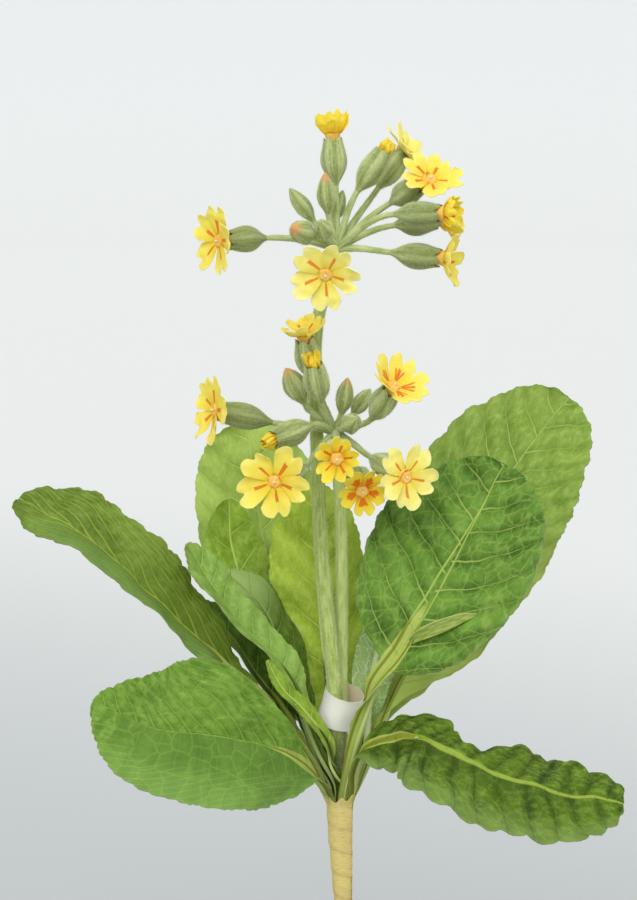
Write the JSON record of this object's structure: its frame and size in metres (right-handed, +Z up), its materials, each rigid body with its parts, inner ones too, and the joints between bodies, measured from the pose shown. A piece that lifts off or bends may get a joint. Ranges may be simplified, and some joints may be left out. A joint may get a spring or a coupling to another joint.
{
  "type": "potted cowslip",
  "caption": "Cowslip in a plain clay pot: nodding yellow bells on felted stalks over a rosette of crinkled leaves, with a tape-wrapped stem.",
  "frame": {"origin": "middle of the pot's flat base, on the surface that the pot stands on", "axes": "+Z up along the pot's axis to the flowers, +X to the right and -Y towards the viewer when the plant is seen from its front"},
  "size_m": [0.2095, 0.13, 0.3893],
  "materials": {
    "clay": "matte unglazed terracotta",
    "soil": "rough crumbly",
    "tape": "creped paper tape in spiral laps",
    "leaf": "matte with soft veins",
    "stalk": "felted",
    "petal": "soft satin",
    "paper": "matte paper"
  },
  "bodies": {
    "root": {"pot": "clay", "soil": "soil", "wrapped_stem": "tape", "paper_band": "paper", "leaf_left_long": "leaf", "leaf_left_low": "leaf", "leaf_left_narrow": "leaf", "leaf_back_left_tall": "leaf", "leaf_back_left_small": "leaf", "leaf_back_middle": "leaf", "leaf_right_front": "leaf", "leaf_right_back": "leaf", "leaf_right_low": "leaf", "leaf_right_pale": "leaf", "leaf_front_small": "leaf", "leaf_left_inner": "leaf", "leaf_left_mid": "leaf", "leaf_rear_right": "leaf", "leaf_rear_middle": "leaf", "leaf_rear_left": "leaf", "flower_stalk_tall": "stalk", "flower_stalk_short": "stalk", "corolla_upper_left": "petal", "corolla_upper_front": "petal", "corolla_upper_top": "petal", "corolla_upper_back": "petal", "corolla_upper_high": "petal", "corolla_upper_right": "petal", "corolla_upper_right_rear": "petal", "corolla_upper_right_low": "petal", "corolla_lower_left": "petal", "corolla_lower_front_left": "petal", "corolla_lower_top": "petal", "corolla_lower_right_high": "petal", "corolla_lower_middle": "petal", "corolla_lower_front_right": "petal", "corolla_lower_right": "petal", "corolla_upper_opening": "petal", "corolla_lower_left_opening": "petal", "corolla_lower_top_opening": "petal"}
  },
  "joints": []
}
